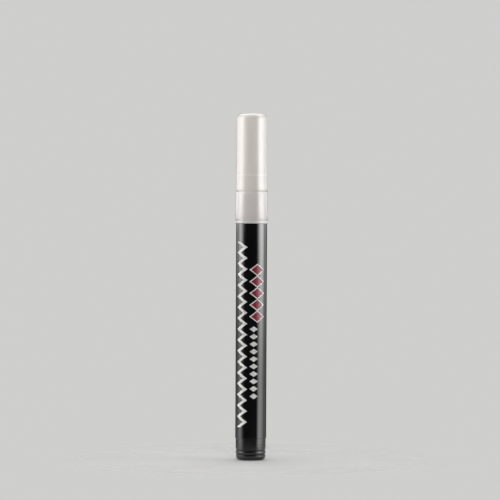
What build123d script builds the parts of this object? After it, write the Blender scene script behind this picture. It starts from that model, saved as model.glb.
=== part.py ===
from build123d import *

import os
from math import cos, pi, sin, sqrt

# Liquid chalk marker, capped and standing on its rear face.
# Millimetres. The origin is the centre of the rear face, and +Z runs along the barrel to the cap's top.
# Heights in this file are distances from the rear face, and outlines are (radius, height) points.

# Fits, all measured on the radius
press_clearance = 0.05
cap_clearance = 0.10
snap_clearance = 0.04
seal_clearance = 0.05
neck_clearance = 0.45
liner_clearance = 0.17
nib_clearance = 0.08
stem_clearance = 0.10
ink_clearance = 0.50
spring_clearance = 0.85

# Fits, measured along the axis
cap_seat_gap = 0.05
valve_gap = 0.05
spring_gap = 0.05
ball_gap = 0.05

# Barrel: a plain tube, open at both ends
barrel_length = 86.8
barrel_diameter = 12.5
barrel_wall = 1.0

# Rear plug: a cup pressed into the barrel's rear end, with grooves round its head
plug_head_length = 8.8
plug_head_inset = 0.2
plug_edge_radius = 1.7
plug_floor = 2.0
plug_wall = 1.1
plug_spigot_length = 9.0
plug_groove_height = 2.2
plug_groove_pitch = 1.65
plug_groove_count = 2
plug_groove_width = 0.6
plug_groove_depth = 0.35
gate_dimple_diameter = 2.4
gate_dimple_depth = 0.4
spigot_lead_in = 0.3

# Front section: the white moulding that carries the valve, the nib and the cap
front_spigot_length = 8.0
flange_thickness = 1.2
flange_overhang = 0.3
land_length = 6.0
land_step = 0.85
snap_bead_height = 3.2
snap_bead_width = 1.4
neck_length = 18.4
neck_wall = 1.45
shoulder_length = 2.3
collar_length = 6.3
collar_wall = 1.55
collar_tip_inset = 0.13
collar_edge_break = 0.4
feed_cone_lead = 0.5
guide_rib_count = 4
guide_rib_width = 0.8
guide_rib_setback = 3.4
vent_count = 4
vent_width = 0.6
vent_depth = 0.35

# Nib: a bonded-fibre rod with a bullet end
nib_diameter = 3.0
nib_exposed = 7.0
nib_tip_length = 1.9
nib_rear_chamfer = 0.4

# Pump valve: seat, stem, spring and windowed cage in the rear of the front section
chamber_wall = 1.0
chamber_depth = 13.0
seat_thickness = 2.0
seat_cone = 0.8
cage_wall = 0.7
cage_flange_reach = 0.85
cage_flange_thickness = 0.8
basket_length = 7.2
basket_floor = 1.0
window_count = 4
window_width = 2.4
window_margin = 0.7
stem_head_length = 1.5
stem_pin_reach = 2.2
stem_pin_diameter = 2.0
stem_tail_diameter = 1.8
stem_end_chamfer = 0.25
spring_wire = 0.4
spring_side_count = 4
spring_turn_count = 6

# Mixing ball
ball_diameter = 4.0

# Cap: a push-on moulding that flares towards its mouth, with a fine step in its flare.
# Its insets are measured on the radius, in from the mouth, and its heights from the mouth up.
cap_headroom = 6.9
cap_skirt_wall = 0.95
cap_skirt_inset = 0.05
cap_skirt_height = 6.4
cap_step_inset = 0.22
cap_step_height = 11.85
cap_step_depth = 0.06
cap_flare_inset = 0.35
cap_flare_height = 18.55
cap_top_inset = 0.5
cap_top_round = 1.6
cap_top_wall = 1.4
cap_bore_margin = 0.8
cap_lead_in = 0.3
cap_rib_count = 6
cap_rib_width = 0.8
cap_rib_setback = 2.5

# Cap liner: the inner cup that closes over the nib's collar
liner_setback = 1.5
liner_wall = 0.65
liner_end_wall = 0.9
liner_bead_height = 0.8
liner_bead_width = 1.0

# How deep an added bead or rib is rooted in its wall, how many straight runs a rounded end has,
# and how close an edge's size must match
root_depth = 0.3
round_run_count = 4
edge_tolerance = 0.001

# Heights that follow from the sizes above
barrel_rear = plug_head_length
barrel_front = barrel_rear + barrel_length
flange_top = barrel_front + flange_thickness
land_top = flange_top + land_length
neck_base = land_top + land_step
neck_top = flange_top + neck_length
collar_base = neck_top + shoulder_length
collar_tip = collar_base + collar_length
nib_tip = collar_tip + nib_exposed
spigot_end = barrel_front - front_spigot_length
chamber_top = spigot_end + chamber_depth
nib_rear = chamber_top + stem_pin_reach
seat_bottom = chamber_top - seat_thickness
cage_flange_bottom = spigot_end - cage_flange_thickness
basket_bottom = cage_flange_bottom - basket_length
basket_floor_top = basket_bottom + basket_floor
feed_cone_base = neck_top - feed_cone_lead
cap_mouth = flange_top + cap_seat_gap
liner_mouth = collar_base + liner_setback
liner_end = nib_tip + cap_headroom
cap_hollow_top = liner_end + liner_end_wall
cap_top = cap_hollow_top + cap_top_wall

# Radii that follow from the sizes above
barrel_radius = barrel_diameter / 2
barrel_bore = barrel_radius - barrel_wall
plug_radius = barrel_radius - plug_head_inset
spigot_radius = barrel_bore - press_clearance
plug_bore = spigot_radius - plug_wall
flange_radius = barrel_radius + flange_overhang
cap_bore = flange_radius - cap_skirt_wall
land_radius = cap_bore - cap_clearance
neck_radius = land_radius - land_step
cap_hollow_radius = neck_radius + neck_clearance
feed_radius = neck_radius - neck_wall
nib_radius = nib_diameter / 2
nib_bore = nib_radius + nib_clearance
collar_base_radius = nib_bore + collar_wall
liner_bore = collar_base_radius + liner_clearance
liner_radius = liner_bore + liner_wall
chamber_radius = spigot_radius - chamber_wall
cage_radius = chamber_radius - press_clearance
cage_bore = cage_radius - cage_wall
stem_pin = stem_pin_diameter / 2
stem_tail = stem_tail_diameter / 2
seat_orifice = stem_pin + ink_clearance
seat_mouth = seat_orifice + seat_cone
spring_radius = stem_tail + spring_clearance + spring_wire / 2


def turned(*outline):
    """A solid of revolution about Z from a closed outline of (radius, height) points."""
    with BuildPart() as solid:
        with BuildSketch(Plane.XZ):
            with BuildLine():
                Polyline(*outline, close=True)
            make_face()
        revolve(axis=Axis.Z)
    return solid.part


def ring(inner, outer, low, high):
    """A plain ring between two radii and two heights."""
    return turned((inner, low), (outer, low), (outer, high), (inner, high))


def bead(radius, height, width, proud):
    """A bead with sloped flanks round a wall, outwards where proud is positive, otherwise inwards."""
    low = height - width / 2
    high = height + width / 2
    root = radius - root_depth if proud > 0 else radius + root_depth
    return turned((root, low), (radius, low), (radius + proud, height), (radius, high), (root, high))


def quarter_round(radius, height, size, start):
    """Outline points of a rounded end about its centre's radius and height, from a start angle."""
    angles = [start + pi / 2 * index / round_run_count for index in range(round_run_count + 1)]
    return [(radius + size * cos(angle), height + size * sin(angle)) for angle in angles]


def rim(part, radius, height):
    """The circular edge of a turned part at one radius and height."""
    circles = part.edges().filter_by(GeomType.CIRCLE)
    at_radius = circles.filter_by(lambda edge: abs(edge.radius - radius) < edge_tolerance)
    return at_radius.filter_by(lambda edge: abs(edge.arc_center.Z - height) < edge_tolerance)


def around(count, block):
    """Copies of a block, equally spaced about the axis."""
    return [Rot(Z=360 * index / count) * block for index in range(count)]


def radial_block(inner, outer, width, low, high):
    """A straight-sided block on +X that runs outwards between two radii."""
    middle = Pos((inner + outer) / 2, 0, (low + high) / 2)
    return middle * Box(outer - inner, width, high - low)


def collar_radius(height):
    """The collar's radius at a height, with its draft."""
    return collar_base_radius - collar_tip_inset * (height - collar_base) / collar_length


def make_barrel():
    """The tube."""
    return ring(barrel_bore, barrel_radius, barrel_rear, barrel_front)


def make_rear_plug():
    """The plug: a grooved head with a rounded end, and a hollow spigot that is pressed into the barrel."""
    spigot_top = barrel_rear + plug_spigot_length
    end_round = quarter_round(plug_radius - plug_edge_radius, plug_edge_radius, plug_edge_radius, -pi / 2)
    plug = turned(
        (0, 0),
        *end_round,
        (plug_radius, barrel_rear),
        (spigot_radius, barrel_rear),
        (spigot_radius, spigot_top),
        (plug_bore, spigot_top),
        (plug_bore, plug_floor),
        (0, plug_floor),
    )
    plug = chamfer(rim(plug, spigot_radius, spigot_top), spigot_lead_in)
    for index in range(plug_groove_count):
        height = plug_groove_height + index * plug_groove_pitch
        plug -= bead(plug_radius, height, plug_groove_width, -plug_groove_depth)
    dimple = turned((0, 0), (gate_dimple_diameter / 2, 0), (0, gate_dimple_depth))
    return plug - dimple


def make_front_section():
    """The front moulding: spigot, flange, cap land, neck, shoulder and collar, bored from both ends."""
    body = turned(
        (0, spigot_end),
        (spigot_radius, spigot_end),
        (spigot_radius, barrel_front),
        (flange_radius, barrel_front),
        (flange_radius, flange_top),
        (land_radius, flange_top),
        (land_radius, land_top),
        (neck_radius, neck_base),
        (neck_radius, neck_top),
        (collar_base_radius, collar_base),
        (collar_radius(collar_tip), collar_tip),
        (0, collar_tip),
    )
    body = chamfer(rim(body, collar_radius(collar_tip), collar_tip), collar_edge_break)
    body = chamfer(rim(body, spigot_radius, spigot_end), spigot_lead_in)
    snap_bead_proud = cap_clearance - snap_clearance
    body += bead(land_radius, flange_top + snap_bead_height, snap_bead_width, snap_bead_proud)
    return body - front_bores() + guide_ribs()


def front_bores():
    """The hollow of the front section: valve chamber, feed bore, nib bore and its air vents."""
    hollow = turned(
        (0, spigot_end),
        (chamber_radius, spigot_end),
        (chamber_radius, chamber_top),
        (feed_radius, chamber_top),
        (feed_radius, feed_cone_base),
        (nib_bore, feed_cone_base + shoulder_length),
        (nib_bore, collar_tip),
        (0, collar_tip),
    )
    vent = radial_block(0, nib_bore + vent_depth, vent_width, feed_cone_base, collar_tip)
    return hollow + around(vent_count, vent)


def guide_ribs():
    """Ribs in the feed bore that keep the nib's rear end on the axis and let ink pass between them."""
    low = chamber_top + guide_rib_setback
    rib = radial_block(0, feed_radius + root_depth, guide_rib_width, low, feed_cone_base)
    nib_way = ring(0, nib_bore, low, feed_cone_base)
    return [block - nib_way for block in around(guide_rib_count, rib)]


def make_nib():
    """The nib: a straight rod with a bullet end of two arcs and a chamfered rear end."""
    shank_top = nib_tip - nib_tip_length
    with BuildPart() as rod:
        with BuildSketch(Plane.XZ):
            with BuildLine():
                Polyline((0, nib_tip), (0, nib_rear), (nib_radius, nib_rear), (nib_radius, shank_top))
                biarc(Vector(nib_radius, shank_top), Vector(0, 1), Vector(0, nib_tip), Vector(-1, 0))
            make_face()
        revolve(axis=Axis.Z)
    return chamfer(rim(rod.part, nib_radius, nib_rear), nib_rear_chamfer)


def make_valve_seat():
    """The soft ring that the stem's cone closes against, with a 45 degree mouth below."""
    return turned(
        (seat_mouth, seat_bottom),
        (cage_radius, seat_bottom),
        (cage_radius, chamber_top),
        (seat_orifice, chamber_top),
        (seat_orifice, seat_bottom + seat_cone),
    )


def stem_head_top():
    """The height at which the stem's 45 degree cone starts, just clear of the seat's mouth."""
    return seat_bottom - valve_gap * sqrt(2)


def make_valve_stem():
    """The stem: a pin that meets the nib, a conical head and a tail that runs in the cage's floor."""
    head_top = stem_head_top()
    head_bottom = head_top - stem_head_length
    stem = turned(
        (0, basket_bottom),
        (stem_tail, basket_bottom),
        (stem_tail, head_bottom),
        (seat_mouth, head_bottom),
        (seat_mouth, head_top),
        (stem_pin, head_top + seat_mouth - stem_pin),
        (stem_pin, nib_rear),
        (0, nib_rear),
    )
    stem = chamfer(rim(stem, stem_tail, basket_bottom), stem_end_chamfer)
    return chamfer(rim(stem, stem_pin, nib_rear), stem_end_chamfer)


def make_valve_cage():
    """The cage: a sleeve in the valve chamber, a stop flange and a windowed basket in the ink."""
    flange = cage_radius + cage_flange_reach
    guide = stem_tail + stem_clearance
    cage = turned(
        (guide, basket_bottom),
        (cage_radius, basket_bottom),
        (cage_radius, cage_flange_bottom),
        (flange, cage_flange_bottom),
        (flange, spigot_end),
        (cage_radius, spigot_end),
        (cage_radius, seat_bottom),
        (cage_bore, seat_bottom),
        (cage_bore, basket_floor_top),
        (guide, basket_floor_top),
    )
    low = basket_floor_top + window_margin
    high = cage_flange_bottom - window_margin
    window = radial_block(cage_bore - root_depth, cage_radius + root_depth, window_width, low, high)
    return cage - around(window_count, window)


def helix_point(turn, low, pitch):
    """The point of the spring's centre line after a number of turns."""
    angle = 2 * pi * turn
    return Vector(spring_radius * cos(angle), spring_radius * sin(angle), low + pitch * turn)


def helix_tangent(turn, pitch):
    """The unit direction of the spring's centre line after a number of turns."""
    angle = 2 * pi * turn
    rise = pitch / (2 * pi)
    return Vector(-spring_radius * sin(angle), spring_radius * cos(angle), rise).normalized()


def biarc(start, start_tangent, end, end_tangent):
    """Two arcs, tangent to each other, from start to end along the given directions."""
    chord = end - start
    along = chord.dot(start_tangent + end_tangent)
    turn = 1 - start_tangent.dot(end_tangent)
    reach = (sqrt(along**2 + 2 * turn * chord.dot(chord)) - along) / (2 * turn)
    joint = (start + end + (start_tangent - end_tangent) * reach) * 0.5
    joint_tangent = (joint - (start + start_tangent * reach)).normalized()
    return [TangentArc(start, joint, tangent=start_tangent), TangentArc(joint, end, tangent=joint_tangent)]


def make_valve_spring():
    """The spring: wire wound evenly between the cage's floor and the stem's head."""
    margin = spring_wire / 2 + spring_gap
    low = basket_floor_top + margin
    high = stem_head_top() - stem_head_length - margin
    pitch = (high - low) / spring_turn_count
    print(f"spring: least gap between turns {pitch - spring_wire:.3f} mm")
    arcs = []
    for quarter in range(4 * spring_turn_count):
        start_turn = quarter / 4
        end_turn = (quarter + 1) / 4
        start = helix_point(start_turn, low, pitch)
        end = helix_point(end_turn, low, pitch)
        arcs += biarc(start, helix_tangent(start_turn, pitch), end, helix_tangent(end_turn, pitch))
    path = Wire(arcs)
    section = Plane(path @ 0, z_dir=path % 0) * RegularPolygon(spring_wire / 2, spring_side_count)
    return sweep(section, path=path)


def make_mixing_ball():
    """The loose ball that stirs the ink, lying on the rear plug's floor."""
    centre = plug_floor + ball_gap + ball_diameter / 2
    return Pos(0, 0, centre) * Sphere(ball_diameter / 2)


def make_cap_shell():
    """The cap: a flared outer skin with a rounded end, bored for the land and ribbed for the liner."""
    step_height = cap_mouth + cap_step_height
    skirt = (flange_radius - cap_skirt_inset, cap_mouth + cap_skirt_height)
    step = (flange_radius - cap_step_inset, step_height)
    ledge = (flange_radius - cap_step_inset - cap_step_depth, step_height)
    flare = (flange_radius - cap_flare_inset, cap_mouth + cap_flare_height)
    crown_radius = flange_radius - cap_top_inset - cap_top_round
    top_round = quarter_round(crown_radius, cap_top - cap_top_round, cap_top_round, 0)
    with BuildPart() as shell:
        with BuildSketch(Plane.XZ):
            with BuildLine():
                Line((0, cap_mouth), (flange_radius, cap_mouth))
                Spline((flange_radius, cap_mouth), skirt, step)
                Line(step, ledge)
                Spline(ledge, flare, top_round[0])
                Polyline(*top_round, (0, cap_top), (0, cap_mouth))
            make_face()
        revolve(axis=Axis.Z)
    return shell.part - cap_hollow() + cap_ribs()


def cap_hollow():
    """The inside of the cap: a bore for the land, and above it a hollow for the neck and liner."""
    bore_top = neck_base + cap_bore_margin
    return turned(
        (0, cap_mouth),
        (cap_bore + cap_lead_in, cap_mouth),
        (cap_bore, cap_mouth + cap_lead_in),
        (cap_bore, bore_top),
        (cap_hollow_radius, bore_top),
        (cap_hollow_radius, cap_hollow_top),
        (0, cap_hollow_top),
    )


def cap_ribs():
    """Ribs in the cap's upper end that hold the liner on the axis."""
    low = liner_mouth + cap_rib_setback
    rib = radial_block(0, cap_hollow_radius + root_depth, cap_rib_width, low, cap_hollow_top)
    liner_way = ring(0, liner_radius + press_clearance, low, cap_hollow_top)
    return [block - liner_way for block in around(cap_rib_count, rib)]


def make_cap_liner():
    """The liner: a closed cup, with a sealing bead just inside its mouth that meets the collar."""
    cup = turned(
        (liner_bore, liner_mouth),
        (liner_radius, liner_mouth),
        (liner_radius, cap_hollow_top),
        (0, cap_hollow_top),
        (0, liner_end),
        (liner_bore, liner_end),
    )
    bead_height = liner_mouth + liner_bead_height
    crest = collar_radius(bead_height - liner_bead_width / 2) + seal_clearance
    return cup + bead(liner_bore, bead_height, liner_bead_width, crest - liner_bore)


pieces = {
    "barrel": make_barrel(),
    "rear_plug": make_rear_plug(),
    "front_section": make_front_section(),
    "nib": make_nib(),
    "valve_seat": make_valve_seat(),
    "valve_stem": make_valve_stem(),
    "valve_cage": make_valve_cage(),
    "valve_spring": make_valve_spring(),
    "mixing_ball": make_mixing_ball(),
    "cap_shell": make_cap_shell(),
    "cap_liner": make_cap_liner(),
}

os.makedirs("parts", exist_ok=True)
for name, piece in pieces.items():
    piece.label = name
    export_step(piece, f"parts/{name}.step")
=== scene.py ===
"""Looks of a capped liquid chalk marker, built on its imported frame.

Lengths are metres in the frame's own axes: the marker stands on its rear face at the origin, +Z runs
along the barrel to the cap's top, and -Y is its printed front.
"""

import logging
import math
from collections.abc import Iterator
from contextlib import contextmanager
from dataclasses import dataclass, replace
from enum import Enum

import bmesh
import bpy
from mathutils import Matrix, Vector


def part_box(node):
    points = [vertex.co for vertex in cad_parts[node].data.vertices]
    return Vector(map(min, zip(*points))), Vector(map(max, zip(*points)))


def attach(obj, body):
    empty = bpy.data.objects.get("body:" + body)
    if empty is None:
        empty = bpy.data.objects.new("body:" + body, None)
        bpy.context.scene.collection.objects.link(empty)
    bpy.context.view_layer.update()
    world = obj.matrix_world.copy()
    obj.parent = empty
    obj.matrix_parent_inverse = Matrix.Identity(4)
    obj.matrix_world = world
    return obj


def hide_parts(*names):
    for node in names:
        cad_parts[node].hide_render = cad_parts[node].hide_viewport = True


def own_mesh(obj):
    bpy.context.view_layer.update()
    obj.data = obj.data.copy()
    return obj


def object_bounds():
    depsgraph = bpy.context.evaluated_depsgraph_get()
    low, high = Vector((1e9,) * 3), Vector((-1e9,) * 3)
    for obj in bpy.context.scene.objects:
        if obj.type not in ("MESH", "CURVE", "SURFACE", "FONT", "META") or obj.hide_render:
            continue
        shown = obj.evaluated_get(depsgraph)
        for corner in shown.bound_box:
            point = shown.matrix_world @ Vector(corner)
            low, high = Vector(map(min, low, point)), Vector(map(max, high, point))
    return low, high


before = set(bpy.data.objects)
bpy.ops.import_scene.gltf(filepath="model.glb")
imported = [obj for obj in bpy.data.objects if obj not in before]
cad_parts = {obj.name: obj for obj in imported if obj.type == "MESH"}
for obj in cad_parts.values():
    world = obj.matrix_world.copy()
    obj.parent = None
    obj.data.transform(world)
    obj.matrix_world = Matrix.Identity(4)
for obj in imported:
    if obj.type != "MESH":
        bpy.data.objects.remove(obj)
CAD_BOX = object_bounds()

logging.basicConfig(level=logging.INFO, format="%(message)s")
log = logging.getLogger("marker")

MM = 0.001
SIDES = 144
WELD = 0.001 * MM
NEAR = 0.01 * MM
SMOOTH_ANGLE = math.radians(32)
NOISE_SPAN = (0.3, 0.7)
CROWN_EDGES = (0.10, 0.40)
CROWN_RISE = (0.108, 0.13)

Colour = tuple[float, float, float, float]
Size = tuple[float, float, float]
Point = tuple[float, float]
Piece = bpy.types.Object
Material = bpy.types.Material
Socket = bpy.types.NodeSocket


class Body(Enum):
    """The bodies that pieces ride on."""

    MARKER = "marker_body"
    CAP = "cap"
    NIB = "nib_and_stem"
    BALL = "ball"


class Slot(Enum):
    """The record's material slots, passed along with new pieces."""

    BARREL = "barrel_black"
    PLUG = "plug_black"
    SECTION = "section_white"
    NIB = "nib_fibre"
    SPRING = "spring_steel"
    BALL = "ball_steel"
    CAP = "cap_white"
    WHITE_INK = "print_white"
    RED_INK = "print_red"


class Field(Enum):
    """Which part of an inset print motif is kept."""

    EDGE = "edge"
    INSIDE = "inside"


class NodeTree:
    """A node tree that is laid out a node at a time."""

    def __init__(self, tree: bpy.types.NodeTree) -> None:
        """Opens the tree.

        Args:
            tree: the tree of a material, lamp or world.
        """
        self.nodes = tree.nodes
        self.links = tree.links

    def add(self, kind: str, **options: str) -> bpy.types.Node:
        """Adds a node.

        Args:
            kind: the node's type.
            options: its settings.

        Returns:
            The node.
        """
        node = self.nodes.new(kind)
        for name, option in options.items():
            setattr(node, name, option)
        return node

    def feed(self, socket: Socket, value: Socket | float | Colour) -> None:
        """Links a value to a socket, or sets a plain number or colour on it.

        Args:
            socket: the socket.
            value: what it gets.
        """
        if isinstance(value, Socket):
            self.links.new(value, socket)
        else:
            socket.default_value = value

    def combine(self, kind: str, *values: Socket | float) -> Socket:
        """Works one value out of others, such as their product or the larger one.

        Args:
            kind: the Math node's operation.
            values: the values, in the node's order.

        Returns:
            The joined value.
        """
        node = self.add("ShaderNodeMath", operation=kind)
        for socket, value in zip(node.inputs, values):
            self.feed(socket, value)
        return node.outputs["Value"]

    def spread(self, source: Socket, span: tuple[Socket | float, ...], result: Point) -> Socket:
        """Maps a value's span smoothly to a result's span.

        Args:
            source: the value.
            span: the value's two ends.
            result: what the ends become.

        Returns:
            The mapped value.
        """
        node = self.add("ShaderNodeMapRange", interpolation_type="SMOOTHSTEP")
        names = ("Value", "From Min", "From Max", "To Min", "To Max")
        for name, value in zip(names, (source, *span, *result)):
            self.feed(node.inputs[name], value)
        return node.outputs["Result"]

    def part(self, place: Socket) -> tuple[Socket, Socket, Socket]:
        """Parts a place into its three measures.

        Args:
            place: the place.

        Returns:
            Its X, Y and Z.
        """
        node = self.add("ShaderNodeSeparateXYZ")
        self.feed(node.inputs["Vector"], place)
        return tuple(node.outputs)


class NodeSheet(NodeTree):
    """One material's node tree, opened with a Principled shader on its output."""

    def __init__(self, name: str) -> None:
        """Opens the sheet.

        Args:
            name: the material's name.
        """
        self.material = bpy.data.materials.new(name)
        self.material.use_nodes = True
        super().__init__(self.material.node_tree)
        self.nodes.clear()
        self.shader = self.add("ShaderNodeBsdfPrincipled")
        self.surface = self.add("ShaderNodeOutputMaterial").inputs["Surface"]
        self.feed(self.surface, self.shader.outputs["BSDF"])
        self.place = self.add("ShaderNodeTexCoord").outputs["Object"]
        self.normal: Socket | None = None

    def fix(self, **values: float | Colour) -> None:
        """Sets shader sockets that are the same all over, named with underscores for spaces.

        Args:
            values: socket names and their values.
        """
        for name, value in values.items():
            self.feed(self.shader.inputs[name.replace("_", " ")], value)

    def noise(self, size: Size, detail: float = 3.0, rough: float = 0.55) -> Socket:
        """Adds a noise whose patches have a given size along each axis.

        Args:
            size: length of a patch along X, Y and Z.
            detail: how many finer layers it has.
            rough: how strong the finer layers are.

        Returns:
            The noise's value, from 0 to 1.
        """
        mapping = self.add("ShaderNodeMapping")
        mapping.inputs["Scale"].default_value = [1 / length for length in size]
        self.feed(mapping.inputs["Vector"], self.place)
        texture = self.add("ShaderNodeTexNoise")
        self.feed(texture.inputs["Vector"], mapping.outputs["Vector"])
        for name, value in (("Scale", 1.0), ("Detail", detail), ("Roughness", rough)):
            self.feed(texture.inputs[name], value)
        return texture.outputs["Fac"]

    def height(self) -> Socket:
        """The height above the marker's rear face."""
        return self.part(self.place)[2]

    def colour(self, source: Socket, stops: list[tuple[float, Colour]]) -> None:
        """Feeds the base colour from a value.

        Args:
            source: the value.
            stops: places from 0 to 1 and their colours, in order.
        """
        ramp = self.add("ShaderNodeValToRGB")
        elements = ramp.color_ramp.elements
        while len(elements) < len(stops):
            elements.new(0.5)
        for element, (place, tone) in zip(elements, stops):
            element.position = place
            element.color = tone
        self.feed(ramp.inputs["Fac"], source)
        self.feed(self.shader.inputs["Base Color"], ramp.outputs["Color"])

    def tint(self, source: Socket, tone: Colour) -> None:
        """Tints the base colour that is fed already.

        Args:
            source: how strong the tint is, from 0 to 1.
            tone: the tint at its strongest.
        """
        base = self.shader.inputs["Base Color"]
        mix = self.add("ShaderNodeMix", data_type="RGBA", blend_type="MULTIPLY")
        sockets = {socket.identifier: socket for socket in (*mix.inputs, *mix.outputs)}
        self.feed(sockets["B_Color"], tone)
        self.feed(sockets["Factor_Float"], source)
        self.feed(sockets["A_Color"], base.links[0].from_socket)
        self.feed(base, sockets["Result_Color"])

    def roughness(self, source: Socket, result: Point) -> None:
        """Feeds the roughness from a noise.

        Args:
            source: the noise's value.
            result: the roughness where the noise is low, and where it is high.
        """
        self.feed(self.shader.inputs["Roughness"], self.spread(source, NOISE_SPAN, result))

    def relief(self, source: Socket, depth: float) -> None:
        """Adds one layer of relief on top of the layers before it.

        Args:
            source: the relief's value, from 0 to 1.
            depth: height of the value 1.
        """
        bump = self.add("ShaderNodeBump")
        for name, value in (("Strength", 1.0), ("Distance", depth), ("Height", source)):
            self.feed(bump.inputs[name], value)
        if self.normal is not None:
            self.feed(bump.inputs["Normal"], self.normal)
        self.normal = bump.outputs["Normal"]
        self.feed(self.shader.inputs["Normal"], self.normal)


@dataclass(frozen=True)
class MouldedPlastic:
    """Moulded plastic: a faint cloud in its colour, flow lines along the axis and a fine peel.

    It can have dark lines of painted shade and pale lines of painted highlight round it, and a greyer
    tint of painted shade below a height.
    """

    name: str
    tone: Colour
    shade: Colour
    gloss: Point
    cloud: Size = (4 * MM, 4 * MM, 18 * MM)
    cloud_span: Point = (0.28, 0.66)
    cloud_stops: Point = (0.3, 0.6)
    cloud_share: float = 0.85
    patch: Size = (1.6 * MM, 1.6 * MM, 4 * MM)
    flow: Size = (1.3 * MM, 1.3 * MM, 24 * MM)
    flow_depth: float = 0.0015 * MM
    peel: float = 0.45 * MM
    peel_depth: float = 0.0006 * MM
    # painted shade: dark lines at these heights stand for the shade in a groove
    painted_shade_heights: tuple[float, ...] = ()
    painted_shade_width: float = 0.16 * MM
    painted_shade_value: float = 0.25
    # painted highlight: pale lines at these heights stand for light caught on an edge
    painted_highlight_heights: tuple[float, ...] = ()
    painted_highlight_width: float = 0.9 * MM
    painted_highlight_share: float = 1.4
    # painted shade: a greyer, cooler tint below this height stands for dimmer light there
    painted_shade_below: float = 0.0
    painted_shade_tint: Colour = (0.91, 0.905, 0.94, 1.0)
    painted_shade_fade: float = 0.3 * MM
    refraction: float = 1.5

    def material(self) -> Material:
        """Lays out the finish.

        Returns:
            The material.
        """
        sheet = NodeSheet(self.name)
        value = sheet.spread(sheet.noise(self.cloud, detail=5), self.cloud_span, self.cloud_stops)
        # painted highlight: pale lines push the value up towards the paler last stop
        for height in self.painted_highlight_heights:
            painted_highlight_line = self.line(sheet, height, self.painted_highlight_width, (0.0, 1.0))
            value = sheet.combine("MAXIMUM", value, painted_highlight_line)
        # painted shade: dark lines pull the value down towards the shade colour
        for height in self.painted_shade_heights:
            painted_shade_line = self.line(sheet, height, self.painted_shade_width, (1.0, self.painted_shade_value))
            value = sheet.combine("MINIMUM", value, painted_shade_line)
        cloudy, clear = self.cloud_stops
        stops = [(0.0, self.shade), (cloudy, self.middle(self.cloud_share)), (clear, self.tone)]
        # painted highlight colour, paler than the tone
        if self.painted_highlight_heights:
            stops.append((1.0, self.middle(self.painted_highlight_share)))
        sheet.colour(value, stops)
        # painted shade: tints the colour greyer below a height
        if self.painted_shade_below:
            span = (self.painted_shade_below - self.painted_shade_fade, self.painted_shade_below)
            sheet.tint(sheet.spread(sheet.height(), span, (1.0, 0.0)), self.painted_shade_tint)
        sheet.roughness(sheet.noise(self.patch, detail=2), self.gloss)
        sheet.relief(sheet.noise(self.flow, detail=2), self.flow_depth)
        sheet.relief(sheet.noise((self.peel, self.peel, self.peel), detail=1), self.peel_depth)
        sheet.fix(IOR=self.refraction)
        return sheet.material

    def middle(self, share: float) -> Colour:
        """A colour between shade and tone, or paler than the tone.

        Args:
            share: 0 for the shade, 1 for the tone, more for a paler colour.

        Returns:
            The colour.
        """
        mixed = [dark + (light - dark) * share for dark, light in zip(self.shade, self.tone)]
        return (mixed[0], mixed[1], mixed[2], 1.0)

    def line(self, sheet: NodeSheet, height: float, width: float, ends: Point) -> Socket:
        """A soft line round the piece.

        Args:
            sheet: the material's nodes.
            height: the line's height.
            width: how far the line fades to each side.
            ends: the value away from the line, and on it.

        Returns:
            The value.
        """
        away, on_line = ends
        above = sheet.spread(sheet.height(), (height, height + width), (on_line, away))
        below = sheet.spread(sheet.height(), (height - width, height), (away, on_line))
        return sheet.combine("MINIMUM" if on_line > away else "MAXIMUM", above, below)


@dataclass(frozen=True)
class GlossTube:
    """Gloss black extruded tube: a clear skin over black, die lines along it and rubbed patches."""

    name: str
    tone: Colour
    shade: Colour
    gloss: Point
    cloud: Size = (4 * MM, 4 * MM, 30 * MM)
    patch: Size = (1.5 * MM, 1.5 * MM, 9 * MM)
    wave: Size = (1.8 * MM, 1.8 * MM, 45 * MM)
    wave_depth: float = 0.0012 * MM
    line: Size = (0.25 * MM, 0.25 * MM, 30 * MM)
    line_depth: float = 0.0004 * MM
    refraction: float = 1.5
    skin: float = 0.3
    skin_rough: float = 0.05

    def material(self) -> Material:
        """Lays out the finish.

        Returns:
            The material.
        """
        sheet = NodeSheet(self.name)
        cloud = sheet.noise(self.cloud, detail=4)
        sheet.colour(cloud, list(zip(NOISE_SPAN, (self.shade, self.tone))))
        sheet.roughness(sheet.noise(self.patch, detail=6, rough=0.65), self.gloss)
        sheet.relief(sheet.noise(self.wave, detail=2), self.wave_depth)
        sheet.relief(sheet.noise(self.line, detail=1), self.line_depth)
        sheet.fix(IOR=self.refraction, Coat_IOR=self.refraction)
        sheet.fix(Coat_Weight=self.skin, Coat_Roughness=self.skin_rough)
        return sheet.material


@dataclass(frozen=True)
class BondedFibre:
    """Bonded fibre: fine strands along the axis, in pale tones, with a dry matt skin."""

    name: str
    tone: Colour
    shade: Colour
    strand: Size = (0.05 * MM, 0.05 * MM, 1.8 * MM)
    strand_depth: float = 0.012 * MM
    patch: Size = (0.5 * MM, 0.5 * MM, 3 * MM)
    stops: Point = (0.12, 0.4)
    gloss: Point = (0.82, 0.95)
    refraction: float = 1.45
    sheen: float = 0.25
    sheen_rough: float = 0.5

    def material(self) -> Material:
        """Lays out the finish.

        Returns:
            The material.
        """
        sheet = NodeSheet(self.name)
        strands = sheet.noise(self.strand, detail=3, rough=0.6)
        patches = sheet.noise(self.patch, detail=4)
        value = sheet.combine("MULTIPLY", strands, patches)
        sheet.colour(value, list(zip(self.stops, (self.shade, self.tone))))
        sheet.roughness(patches, self.gloss)
        sheet.relief(strands, self.strand_depth)
        sheet.fix(IOR=self.refraction, Sheen_Weight=self.sheen, Sheen_Roughness=self.sheen_rough)
        return sheet.material


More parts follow.
